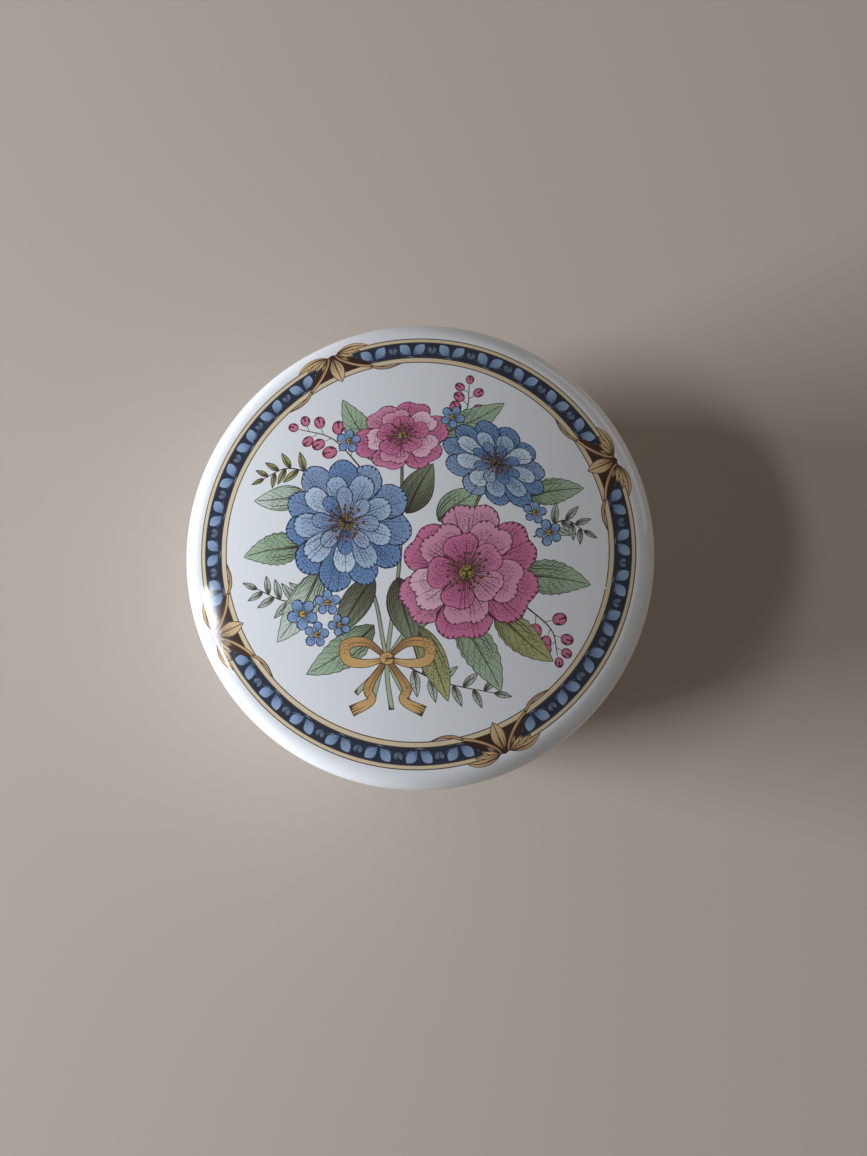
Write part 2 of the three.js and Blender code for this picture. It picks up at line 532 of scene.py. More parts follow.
# Copies a motif round a point in Geometry Nodes: petals, stamens, leaf pairs and ties. With
# Every above 1 it fills one place in so many, or with Between all the other places.
def ringTree():
    tree, given, result = newTree(
        "repeat round", "GeometryNodeTree",
        [("Motif", "NodeSocketGeometry", None), ("Copies", "NodeSocketInt", 8),
         ("Start", "NodeSocketFloat", 0.0), ("Every", "NodeSocketInt", 1),
         ("Between", "NodeSocketBool", False), ("Turn Jitter", "NodeSocketFloat", 0.0),
         ("Size Jitter", "NodeSocketFloat", 0.0), ("Seed", "NodeSocketInt", 0),
         ("China", "NodeSocketMaterial", None)],
        [("Geometry", "NodeSocketGeometry")])
    points = place(tree, "GeometryNodePoints", {"Count": given["Copies"]})
    index = tree.nodes.new("GeometryNodeInputIndex").outputs[0]

    def chance(low, high, salt):
        random = place(tree, "FunctionNodeRandomValue", {
            2: low, 3: high, 8: maths(tree, "ADD", given["Seed"], float(salt))}, data_type="FLOAT")
        return random.outputs[1]

    pitch = maths(tree, "DIVIDE", fullTurn, given["Copies"])
    even = maths(tree, "MULTIPLY_ADD", index, pitch, given["Start"])
    swing = maths(tree, "MULTIPLY", chance(-1.0, 1.0, 11), given["Turn Jitter"])
    turn = place(tree, "ShaderNodeCombineXYZ", {"Z": maths(tree, "ADD", even, swing)})
    size = maths(tree, "MULTIPLY_ADD", chance(-1.0, 1.0, 23), given["Size Jitter"], 1.0)
    onStep = maths(tree, "LESS_THAN", maths(tree, "MODULO", index, given["Every"]), 0.5)
    skipped = maths(tree, "COMPARE", onStep, given["Between"], 0.5)
    wanted = maths(tree, "SUBTRACT", 1.0, skipped)
    copies = place(tree, "GeometryNodeInstanceOnPoints", {
        "Points": points.outputs[0], "Selection": wanted, "Instance": given["Motif"],
        "Rotation": place(tree, "FunctionNodeEulerToRotation", {0: turn.outputs[0]}).outputs[0],
        "Scale": size})
    marked = place(tree, "GeometryNodeStoreNamedAttribute", {
        "Geometry": copies.outputs[0], "Name": "copySeed", "Value": chance(0.0, 1.0, 37)},
        data_type="FLOAT", domain="INSTANCE")
    real = place(tree, "GeometryNodeRealizeInstances", {"Geometry": marked.outputs[0]})
    printed = place(tree, "GeometryNodeSetMaterial", {
        "Geometry": real.outputs[0], "Material": given["China"]})
    tree.links.new(printed.outputs[0], result.inputs["Geometry"])
    return tree


def readPoints(mesh, name, width, kind="value"):
    values = np.empty(len(mesh.vertices) * width, np.float32)
    mesh.attributes[name].data.foreach_get(kind, values)
    return values.astype(float).reshape(-1, width) if width > 1 else values.astype(float)


def ringOf(part, copies, start=0.0, every=1, between=False, turnJitter=0.0, sizeJitter=0.0, seed=0):
    mesh = bpy.data.meshes.new("motif")
    flat = np.column_stack([part["points"], np.zeros(len(part["points"]))])
    mesh.from_pydata(flat.tolist(), [], part["triangles"].tolist())
    coords = mesh.attributes.new("patchCoord", "FLOAT_VECTOR", "POINT")
    coords.data.foreach_set("vector", part["coords"].ravel())
    for name, key in (("patchFinish", "finish"), ("patchBreadth", "breadth")):
        values = mesh.attributes.new(name, "FLOAT", "POINT")
        values.data.foreach_set("value", part[key].astype(float))
    whole = grown("motifRing", mesh, repeatRound, {
        "Copies": copies, "Start": start, "Every": every, "Between": between,
        "Turn Jitter": turnJitter, "Size Jitter": sizeJitter, "Seed": seed, "China": printedChina})
    corners = np.empty(len(whole.vertices) * 3)
    whole.vertices.foreach_get("co", corners)
    faces = np.empty(len(whole.polygons) * 3, int)
    whole.polygons.foreach_get("vertices", faces)
    ring = {
        "points": corners.reshape(-1, 3)[:, :2],
        "triangles": faces.reshape(-1, 3),
        "coords": readPoints(whole, "patchCoord", 3, "vector"),
        "finish": np.rint(readPoints(whole, "patchFinish", 1)).astype(int),
        "seed": readPoints(whole, "copySeed", 1),
        "breadth": readPoints(whole, "patchBreadth", 1),
    }
    bpy.data.meshes.remove(whole)
    bpy.data.meshes.remove(mesh)
    return ring


# Shapes that the print is drawn with. Each starts at the origin and grows along +X.

def leafShape(length, width, bend=0.0, teeth=0, fullest=0.42, rows=18):
    plumpness, toothDepth = 0.85, 0.16
    u = np.linspace(0, 1, rows)
    swell = np.sin(np.pi * u ** (math.log(0.5) / math.log(fullest))) ** plumpness
    if teeth:
        swell = swell * (1 - toothDepth * ((u * teeth) % 1.0))
    middle = np.column_stack([length * u, bend * length * u * (1 - u)])
    ahead = np.gradient(middle, axis=0)
    ahead /= np.hypot(ahead[:, 0], ahead[:, 1])[:, None]
    side = np.column_stack([-ahead[:, 1], ahead[:, 0]]) * (swell * width / 2)[:, None]
    return np.stack([middle - side, middle, middle + side], 1)


# A broad petal with a notched, slightly ruffled edge
def roseShape(length, spread, notch=0.1, ruffle=0.02, start=0.0, rows=6, columns=13):
    shoulders, roundness, notchWidth, waves = 0.36, 2.8, 0.26, 7
    rootSpread, opening = 0.8, 0.2
    across = np.linspace(-1, 1, columns)
    edge = 1 - shoulders * np.abs(across) ** roundness - notch * np.exp(-(across / notchWidth) ** 2)
    edge = edge + ruffle * np.cos(across * waves)
    u = np.linspace(0, 1, rows)[:, None]
    angle = across[None] * spread / 2 * (rootSpread + opening * u)
    radius = start + (length * edge - start)[None] * u
    return np.stack([radius * np.cos(angle), radius * np.sin(angle)], 2)


def discShape(radius, squash=1.0, columns=12):
    angle = np.linspace(0, fullTurn, columns + 1)
    rim = np.stack([radius * np.cos(angle), radius * squash * np.sin(angle)], 1)
    return np.stack([rim * 0.0, rim * 0.55, rim])


# A stalk, thread or ribbon along a smooth line through the given places
def strandShape(places, widths, steps=8):
    spots = np.array(places, float)
    padded = np.concatenate([[2 * spots[0] - spots[1]], spots, [2 * spots[-1] - spots[-2]]])
    line = []
    for a, b, c, d in zip(padded, padded[1:], padded[2:], padded[3:]):
        for t in np.linspace(0, 1, steps, endpoint=False):
            line.append(0.5 * (2 * b + (c - a) * t + (2 * a - 5 * b + 4 * c - d) * t ** 2
                               + (3 * b - a - 3 * c + d) * t ** 3))
    line = np.array(line + [spots[-1]])
    ahead = np.gradient(line, axis=0)
    ahead /= np.maximum(np.hypot(ahead[:, 0], ahead[:, 1]), 1e-9)[:, None]
    width = np.interp(np.linspace(0, 1, len(line)), np.linspace(0, 1, len(widths)), widths)
    side = np.column_stack([-ahead[:, 1], ahead[:, 0]]) * width[:, None] / 2
    return np.stack([line - side, line, line + side], 1)


# Lays a shape drawn on a straight strip round the ring at a given radius
def bent(grid, radius):
    angle = grid[..., 0] / radius
    reach = radius + grid[..., 1]
    return np.stack([reach * np.cos(angle), reach * np.sin(angle)], -1)


# The border: narrow rings, leaf pairs on a navy band, and four leafy ties

border = {
    "places": 32,
    "tieEvery": 8,
    "firstTie": math.radians(23.6),
    "middle": 26.4,
    "outerLine": 28.05,
    "outerBand": 27.5,
    "innerBand": 25.28,
    "innerLine": 24.6,
    "lineWidth": 0.15,
    "bandEdge": 0.4,  # the navy band's brown edges, as a share of half a line
}


def setDown(grid, shift, turn):
    c, s = math.cos(turn), math.sin(turn)
    return grid @ np.array([[c, s], [-s, c]]) + shift


# Two leaves that open outwards, with a small sprig and a pale glint on either side. Here
# and in the tie, a place is (along the band, out from its middle).
def bandPair(settings):
    middle = settings["middle"]
    parts = []

    def lay(grid, finish, spot=(0, 0), turn=0.0):
        parts.append(patch(bent(setDown(grid, spot, turn), middle), finish))

    upright = math.pi / 2
    lay(strandShape([(-0.5, -0.9), (0.1, -1.0), (0.8, -0.84)], (0.03, 0.13, 0.03), 4), "bandGlint")
    for side in (-1, 1):
        for lean in (0.0, 0.75):
            bud = leafShape(1.3, 0.62, fullest=0.6, rows=8)
            lay(bud, "bandBud", (side * 2.5, -0.7), upright + side * (0.2 - lean))
        glint = [(side * 0.45, -0.66), (side * 1.1, -0.6), (side * 1.95, -0.2)]
        lay(strandShape(glint, (0.04, 0.1, 0.03), 4), "bandGlint")
        leaf = leafShape(2.36, 1.44, fullest=0.6, rows=10)
        lay(leaf, "bandLeaf", (side * 0.06, -0.87), upright - side * 0.72)
    return joined(parts)


# The dark ground behind a tie, flat along the inner band and rising to the middle
def bellShape(halfLength, height, floor):
    x = np.linspace(-halfLength, halfLength, 25)
    upper = floor + height * (1 - np.abs(x / halfLength) ** 1.2) ** 0.9
    lower = np.full_like(x, floor)
    return np.stack([np.column_stack([x, edge]) for edge in (lower, (lower + upper) / 2, upper)], 1)


# Acanthus-like leaves either side of a pendant leaf, with beaded stalks along the inner line
def bandTie(settings):
    middle = settings["middle"]
    parts = []

    def lay(grid, finish, side=1):
        parts.append(patch(bent(grid * (side, 1), middle), finish))

    def finger(root, tip, width, bend):
        span = np.subtract(tip, root)
        leaf = leafShape(math.hypot(*span), width, bend, rows=12, fullest=0.5)
        return setDown(leaf, root, math.atan2(span[1], span[0]))

    lay(bellShape(4.7, 3.1, settings["innerBand"] - middle), "tieGround")
    for side in (-1, 1):
        beads = [(4.5, -1.42), (5.7, -2.0), (7.2, -2.14), (9.0, -1.8)]
        lay(strandShape(beads, (0.4, 0.5, 0.42, 0.04), 5), "tieBeads", side)
        stem = [(0.4, 1.8), (0.85, 0.9), (1.8, -0.05), (3.1, -0.9), (4.7, -1.5)]
        lay(strandShape(stem, (0.34, 0.42, 0.46, 0.46, 0.4), 4), "tieStem", side)
        lay(finger((0.9, 1.5), (1.95, 0.25), 0.5, 0.0), "tieLobe", side)
        for tip, width, bend in (
                ((2.65, 0.62), 0.92, 0.5), ((3.75, 1.1), 0.9, 0.45), ((4.9, 1.6), 0.95, 0.44)):
            lay(finger((0.5, 1.75), tip, width, bend), "tieLobe", side)
    lay(finger((0, 1.5), (0, -2.35), 1.95, 0.0), "tieLeaf")
    return joined(parts)


def borderPrint(settings):
    common = dict(copies=settings["places"], start=settings["firstTie"], every=settings["tieEvery"])
    return joined([
        ringOf(bandPair(settings), between=True, **common),
        ringOf(bandTie(settings), between=False, **common),
    ])


# The posy: broad-petalled garden flowers with small sprays, leaves and a ribbon

def layLeaf(sheet, root, tip, width, finish, bend=0.0, teeth=0):
    span = math.hypot(tip[0] - root[0], tip[1] - root[1])
    turn = math.atan2(tip[1] - root[1], tip[0] - root[0])
    leaf = patch(leafShape(span, width, bend, teeth), finish)
    sheet.append(moved(leaf, root, turn))


def layStrand(sheet, places, widths, finish, steps=8):
    sheet.append(patch(strandShape(places, widths, steps), finish))


def layDisc(sheet, centre, radius, finish, squash=1.0, turn=0.0):
    sheet.append(moved(patch(discShape(radius, squash), finish), centre, turn))


blossom = {
    "petalSwing": 0.06,
    "stamenRoot": 0.5,  # of the heart's radius
    "stamenWidths": (0.07, 0.05),
    "antherRadius": 0.23,
    "stamenTurn": 0.4,  # from one ring of stamens to the next
    "stamenSwing": 0.12,
    "stamenJitter": 0.14,
    "stamenSeed": 50,
    "tinySpread": 1.22,
    "tinyPetals": 5,
    "tinyJitter": 0.06,
    "tinyHeart": 0.24,  # of the flower's radius
}


# An open flower: each ring of petals is (shape, finish, count, turn, size jitter)
def layFlower(sheet, centre, radius, rings, squash, turn, heart, seed):
    for number, (grid, finish, count, start, jitter) in enumerate(rings):
        ring = ringOf(patch(grid * radius, finish), count, start=start,
                      turnJitter=blossom["petalSwing"], sizeJitter=jitter, seed=seed + number)
        sheet.append(moved(ring, centre, turn, (1, squash)))
    reach, finish, stamens = heart
    layDisc(sheet, centre, reach, finish, squash, turn)
    for number, (count, length) in enumerate(stamens):
        places = [(reach * blossom["stamenRoot"], 0), (length, 0)]
        thread = patch(strandShape(places, blossom["stamenWidths"], 2), "thread")
        dot = moved(patch(discShape(blossom["antherRadius"], 1, 6), "anther"), (length, 0))
        ring = ringOf(joined([thread, dot]), count, start=number * blossom["stamenTurn"],
                      turnJitter=blossom["stamenSwing"], sizeJitter=blossom["stamenJitter"],
                      seed=seed + blossom["stamenSeed"] + number)
        sheet.append(moved(ring, centre, turn, (1, squash)))


def layTinyFlower(sheet, centre, radius):
    petal = patch(roseShape(radius, blossom["tinySpread"], notch=0.0, rows=4, columns=7), "tinyBlue")
    ring = ringOf(petal, blossom["tinyPetals"], start=centre[0], sizeJitter=blossom["tinyJitter"],
                  seed=int(abs(centre[1] * 10)))
    sheet.append(moved(ring, centre))
    layDisc(sheet, centre, radius * blossom["tinyHeart"], "anther")


# Lengths are shares of the spray's size, which lessens towards its tip. The widths of its
# twig and its stalks are in millimetres.
spray = {
    "twigWidths": (0.22, 0.1),
    "bare": 0.25,  # share of the twig before the first leaf or berry
    "lean": 0.95,
    "rootSize": 1.15,
    "lessens": 0.45,
    "stalk": 1.05,
    "stalkWidths": (0.1, 0.08, 0.08),
    "berryRadius": 0.52,
    "berrySquash": 0.86,
    "leafLength": 1.7,
    "leafWidth": 0.62,
}


# A fine twig with small leaves or berries in turn along it
def laySpray(sheet, places, count, size, finish):
    layStrand(sheet, places, spray["twigWidths"], "thread", 6)
    line = strandShape(places, (0, 0), 12)[:, 1]
    for number in range(count):
        share = spray["bare"] + (1 - spray["bare"]) * number / (count - 1)
        index = min(int(share * (len(line) - 1)), len(line) - 2)
        ahead = math.atan2(*(line[index + 1] - line[index])[::-1])
        side = 0 if number == count - 1 else (1 if number % 2 else -1)
        reach = size * (spray["rootSize"] - spray["lessens"] * share)
        angle = ahead + side * spray["lean"]
        root = line[index]
        away = np.array([math.cos(angle), math.sin(angle)]) * reach
        if finish == "berry":
            spot = root + away * spray["stalk"]
            layStrand(sheet, [root, (root + spot) / 2, spot], spray["stalkWidths"], "thread", 2)
            layDisc(sheet, spot, reach * spray["berryRadius"], finish, spray["berrySquash"], angle)
        else:
            layLeaf(sheet, root, root + away * spray["leafLength"], reach * spray["leafWidth"], finish)


roseRings = [(roseShape(1.0, 1.18, 0.12), "pinkPetal", 6, 0.0, 0.06),
             (roseShape(0.8, 1.2, 0.14), "palePinkPetal", 5, 0.5, 0.06),
             (roseShape(0.55, 1.3, 0.1), "pinkPetal", 5, 0.1, 0.06)]
blueRings = [(roseShape(1.0, 0.72, 0.05, 0.03), "bluePetal", 11, 0.0, 0.07),
             (roseShape(0.78, 0.7, 0.05, 0.02), "paleBluePetal", 9, 0.3, 0.08),
             (roseShape(0.5, 0.72, 0.03, 0.02), "bluePetal", 8, 0.1, 0.08)]

# Places are (x, y) on the lid. A flower's heart is its radius, its finish and its rings of
# stamens, each (count, length).
posy = {
    "knot": (-3.4, -14.2),
    "knotRadius": 1.0,
    "knotSquash": 0.85,
    "flowers": {
        "youngRose": {"centre": (-1.6, 14.4), "radius": 6.6, "squash": 0.78, "turn": 0.2,
                      "rings": roseRings, "heart": (0.75, "eye", ((13, 1.7), (9, 1.2))), "seed": 31},
        "smallBlue": {"centre": (10.4, 10.6), "radius": 7.2, "squash": 0.72, "turn": -0.6,
                      "rings": blueRings, "heart": (0.8, "darkEye", ((14, 1.7), (9, 1.2))), "seed": 47},
        "bluebloom": {"centre": (-8.8, 3.0), "radius": 9.2, "squash": 0.9, "turn": 2.2,
                      "rings": blueRings, "heart": (1.2, "darkEye", ((20, 2.3), (14, 1.7))), "seed": 11},
        "rose": {"centre": (6.6, -3.4), "radius": 9.8, "squash": 0.9, "turn": 0.5,
                 "rings": roseRings, "heart": (1.1, "eye", ((20, 2.5), (14, 1.8), (9, 1.2))), "seed": 5},
    },
    "stemWidths": (0.4, 0.5, 0.6, 0.7),
    "stemBend": (0.8, 0),
    "stemEnds": {"rose": (-5.4, -19.8), "youngRose": (-2.9, -20.6), "bluebloom": (-0.4, -20.2),
                 "smallBlue": (-7.4, -18.6)},
    "sprays": (  # the twig's places, leaves or berries on it, their size and finish
        ([(-6, 9), (-10.5, 14), (-15.0, 15.6)], 8, 2.0, "berry"),
        ([(3, 13), (6.5, 17.5), (7.0, 21.0)], 7, 1.8, "berry"),
        ([(13, -7), (17.0, -10.5), (17.8, -13.6)], 7, 1.9, "berry"),
        ([(-11, -6), (-16, -7), (-20.6, -5.2)], 9, 1.9, "paleLeaf"),
        ([(15, 1), (18.8, 3.2), (21.6, 1.8)], 8, 1.7, "paleLeaf"),
        ([(-3, -14), (3, -17.0), (10.5, -18.6)], 9, 2.0, "paleLeaf"),
        ([(-12, 9), (-16.5, 10.4), (-20.0, 9.0)], 8, 1.6, "oliveLeaf"),
    ),
    "leaves": (  # root, tip, width, finish, bend and teeth
        ((-4, 11), (-9.6, 19.6), 4.4, "sageLeaf", 0.14, 9),
        ((2, 14), (11.6, 18.8), 4.2, "sageLeaf", -0.16, 8),
        ((14, 6), (21.6, 7.4), 3.8, "sageLeaf", 0.16, 8),
        ((13, -4), (22.2, -5.0), 4.8, "sageLeaf", 0.16, 9),
        ((10, -8), (17.4, -14.6), 4.4, "oliveLeaf", -0.16, 8),
        ((5, -9), (10.8, -18.4), 4.8, "sageLeaf", 0.16, 8),
        ((-14, 0), (-22.2, -1.2), 4.6, "sageLeaf", -0.16, 9),
        ((-12, -3), (-17.6, -12.2), 4.6, "paleLeaf", 0.16, 8),
        ((-5, -10), (-13.8, -16.2), 4.6, "sageLeaf", 0.18, 8),
        ((0, -10), (4.2, -19.6), 3.6, "oliveLeaf", 0.14, 0),
        ((-1, 4), (2.4, 10.6), 4.2, "darkLeaf", 0.12, 0),
        ((3, 3), (8.4, 7.2), 4.0, "sageLeaf", 0.12, 0),
        ((-2, -4), (0.2, -12.6), 4.2, "darkLeaf", -0.14, 0),
        ((-5, -4), (-9.8, -11.6), 3.8, "darkLeaf", -0.12, 0),
        ((-14, 7), (-21.0, 6.2), 3.4, "paleLeaf", 0.14, 0),
    ),
    "tinyFlowers": (
        ((-14.2, -8.6), 2.0), ((-11.0, -7.2), 1.7), ((-12.4, -11.2), 1.7), ((-9.4, -10.0), 1.5),
        ((17.0, 1.6), 1.7), ((15.2, 4.2), 1.5), ((4.8, 16.8), 1.6), ((-8.6, 13.8), 1.6),
    ),
    "ribbon": (  # places out from the knot and the ribbon's widths: a tail, then a loop
        (((0, 0), (2.4, -3.6), (2.0, -5.2), (4.6, -6.6)), (0.6, 1.3, 1.1, 1.5)),
        (((0, 0), (2.6, 2.0), (5.2, 1.7), (5.0, -0.2), (2.6, -0.6), (0, 0)),
         (0.5, 1.2, 1.5, 1.4, 1.1, 0.5)),
    ),
}


def layRibbon(sheet, settings):
    knotX, knotY = settings["knot"]
    for side in (-1, 1):
        for offsets, widths in settings["ribbon"]:
            places = [(knotX + side * x, knotY + y) for x, y in offsets]
            layStrand(sheet, places, widths, "ochre", 6)
    layDisc(sheet, settings["knot"], settings["knotRadius"], "ochre", settings["knotSquash"])


def posyPrint(settings):
    sheet = []
    knot = settings["knot"]
    for name, end in settings["stemEnds"].items():
        head = settings["flowers"][name]["centre"]
        middle = (np.array(head) * 0.45 + np.array(knot) * 0.55) + settings["stemBend"]
        layStrand(sheet, [head, middle, knot, end], settings["stemWidths"], "stem")
    for places, count, size, finish in settings["sprays"]:
        laySpray(sheet, places, count, size, finish)
    for leaf in settings["leaves"]:
        layLeaf(sheet, *leaf)
    for flower in settings["flowers"].values():
        layFlower(sheet, **flower)
    for centre, radius in settings["tinyFlowers"]:
        layTinyFlower(sheet, centre, radius)
    layRibbon(sheet, settings)
    return joined(sheet)


# Cuts all the patches into one flat sheet, the later over the earlier, and carries each
# patch's values to the corners of the pieces that are left in sight

defaultOutline = 0.1

sheetForm = {
    "spacing": 1.05,
    "finerRings": (28.42, 28.64, 28.84, 29.03),
    "innerLimit": 28.3,
    "largeArea": 0.06,
    "nearest": 1e-5,  # points of the sheet closer than this become one
}


def latticePoints(settings, rimRadius, segments):
    step, limit = settings["spacing"], settings["innerLimit"]
    rise = math.sqrt(3) / 2
    rows = int(limit / (step * rise)) + 1
    points = []
    for row in range(-rows, rows + 1):
        for column in range(-rows * 2, rows * 2 + 1):
            x, y = (column + 0.5 * (row % 2)) * step, row * step * rise
            if math.hypot(x, y) < limit:
                points.append((x, y))
    for radius in (*settings["finerRings"], rimRadius):
        for turn in range(segments):
            angle = fullTurn * turn / segments
            points.append((radius * math.cos(angle), radius * math.sin(angle)))
    return np.array(points)


def crossed(p, q):
    return p[..., 0] * q[..., 1] - p[..., 1] * q[..., 0]


# Which drawn triangle shows at each of some spots: the last one laid over it, or -1
def ownersAt(drawn, spots):
    order = np.argsort(spots[:, 0])
    sortedX = spots[order, 0]
    owner = np.full(len(spots), -1)
    for number, corner in enumerate(drawn["points"][drawn["triangles"]]):
        low, high = corner.min(0), corner.max(0)
        near = order[slice(*np.searchsorted(sortedX, (low[0], high[0])))]
        near = near[(spots[near, 1] >= low[1]) & (spots[near, 1] <= high[1])]
        sides = [crossed(corner[k] - corner[k - 1], spots[near] - corner[k - 1]) for k in range(3)]
        owner[near[np.min(sides, 0) >= 0]] = number
    return owner


# Leaves out the drawn triangles that later ones hide. Each is tested at a lattice of spots,
# which is finer in a large one.
def inSight(drawn):
    corners = drawn["points"][drawn["triangles"]]
    area = crossed(corners[:, 1] - corners[:, 0], corners[:, 2] - corners[:, 0]) / 2
    large = area > sheetForm["largeArea"]
    seen = np.zeros(len(corners), bool)
    for steps, chosen in ((3, ~large), (10, large)):
        weights = np.array([(i + 1 / 3, j + 1 / 3, steps - i - j - 2 / 3)
                            for i in range(steps) for j in range(steps - i)]) / steps
        spots = np.einsum("wc,tck->twk", weights, corners[chosen])
        owner = ownersAt(drawn, spots.reshape(-1, 2)).reshape(-1, len(weights))
        seen[chosen] = (owner == np.flatnonzero(chosen)[:, None]).any(1)
    return {**drawn, "triangles": drawn["triangles"][seen]}


def cutSheet(drawn, background):
    used, renamed = np.unique(drawn["triangles"], return_inverse=True)
    points = np.concatenate([background, drawn["points"][used]])
    faces = renamed.reshape(-1, 3) + len(background)
    cut = delaunay_2d_cdt([Vector(p) for p in points], [], faces.tolist(), 0,
                          sheetForm["nearest"], True)
    flat = np.array([tuple(p) for p in cut[0]])
    triangles = np.array(cut[2])
    return flat, triangles, ownersAt(drawn, flat[triangles].mean(1))


# Shares of a triangle's three corners at points in its plane
def sharesIn(corners, spots):
    a, b, c = corners[:, 0, None], corners[:, 1, None], corners[:, 2, None]
    whole = crossed(b - a, c - a)
    shareB = crossed(spots - a, c - a) / whole
    shareC = crossed(b - a, spots - a) / whole
    return np.stack([1 - shareB - shareC, shareB, shareC], 2)


def finishTable(key, width, default=0.0):
    rows = [printFinishes[name].get(key, default) for name in finishNames]
    return np.array(rows, float).reshape(len(rows), width)


attributeKinds = {1: ("FLOAT", "value"), 3: ("FLOAT_VECTOR", "vector"), 4: ("FLOAT_COLOR", "color")}


# Stores values on the corners of the shown triangles, and nothing on the others
def keepOnCorners(mesh, name, shown, values):
    whole = np.zeros((len(shown), 3, values.shape[-1]))
    whole[shown] = values
    kind, key = attributeKinds[values.shape[-1]]
    mesh.attributes.new(name, kind, "CORNER").data.foreach_set(key, whole.ravel())


# Each drawn point's colour: from its root's to its tip's, with some copies paler
def fillColours(drawn):
    rootHold, dimmest, spread = 0.8, 0.94, 0.1
    finish, seed = drawn["finish"], drawn["seed"][:, None]
    tint = np.clip(drawn["coords"][:, :1], 0, 1) ** rootHold
    paled = finishTable("fade", 1)[finish] * np.clip(seed * 2 - 1, 0, 1)
    fill = finishTable("root", 3)[finish] * (1 - tint) + finishTable("fill", 3)[finish] * tint
    return fill * (1 - paled) * (dimmest + spread * seed) + paled


def printedTop(form, drawn):
    background = latticePoints(sheetForm, form["printedRadius"], form["segments"])
    flat, triangles, owner = cutSheet(drawn, background)
    height, normals = onLid(form, flat)
    mesh = bpy.data.meshes.new("printedTop")
    mesh.from_pydata((np.column_stack([flat, height]) * mm).tolist(), [], triangles.tolist())
    mesh.attributes.new("trueNormal", "FLOAT_VECTOR", "POINT").data.foreach_set("vector", normals.ravel())
    shown = owner >= 0
    source = drawn["triangles"][owner[shown]]
    shares = sharesIn(drawn["points"][source], flat[triangles[shown]])

    def carried(values):
        return np.einsum("tcs,tsk->tck", shares, values[source])

    def ownOf(*columns):
        return np.column_stack(columns)[source[:, 0]][:, None]

    finish, seed = drawn["finish"], drawn["seed"]
    single = {key: finishTable(key, 1)[finish][:, 0]
              for key in ("gap", "reach", "tipReach", "veins", "rib", "dots")}
    gap = single["gap"]
    lines = np.divide(drawn["breadth"], gap, out=np.zeros(len(gap)), where=gap > 0)
    fill = carried(fillColours(drawn))
    for name, values in (
            ("printOutline", ownOf(finishTable("outline", 1, defaultOutline)[finish])),
            ("printColour", np.concatenate([fill, np.ones((*fill.shape[:2], 1))], 2)),
            ("printInk", ownOf(finishTable("ink", 3)[finish], seed)),
            ("printCoord", carried(drawn["coords"])),
            ("printHatch", ownOf(lines, single["reach"], single["tipReach"])),
            ("printDetail", ownOf(single["veins"], single["rib"], single["dots"]))):
        keepOnCorners(mesh, name, shown, values)
    return mesh


# Glazed china

glaze = {
    "china": paint(237, 238, 240),
    "roughness": 0.05,
    "printRoughness": 0.075,
    "unglazedRoughness": 0.62,
    "unglazedReach": 0.12,  # height of the bare band at the seat and the foot
    "ledgeReach": 0.05,
    "rippleSize": 5.0,
    "rippleHeight": 0.012,
    "printHeight": 0.006,
    "ior": 1.5,
    "scatter": 0.12,
    "scatterDepth": 1.2,
}


def newMaterial(name):
    material = bpy.data.materials.new(name)
    material.use_nodes = True
    tree = material.node_tree
    surface = tree.nodes["Principled BSDF"]
    return material, tree, surface


# Engraved lines. Widths are in millimetres for the outline and the rib, and otherwise
# shares of a hatch line's or a vein's own pitch or of the patch's length.
engraved = {
    "wobbleScale": 900.0,
    "wobble": 0.06,
    "softness": 0.02,
    "hatchWidth": 0.58,
    "hatchTaper": 0.6,
    "hatchSoftness": 0.12,
    "copyShift": 7.0,  # how far the hatching and its chances move from copy to copy
    "copyChance": 31.0,
    "shortestHatch": 0.5,
    "raggedHatch": 0.9,
    "veinWidth": 0.1,
    "veinSoftness": 0.06,
    "veinSlant": 2.2,
    "veinInk": 0.75,
    "ribWidth": 0.1,
    "ribTaper": 0.06,
    "ribEnd": 0.93,
    "dotScale": 3300.0,
    "dotSize": 0.24,
    "dotSoftness": 0.05,
    "dotInk": 0.8,
    "darkest": 0.93,
}


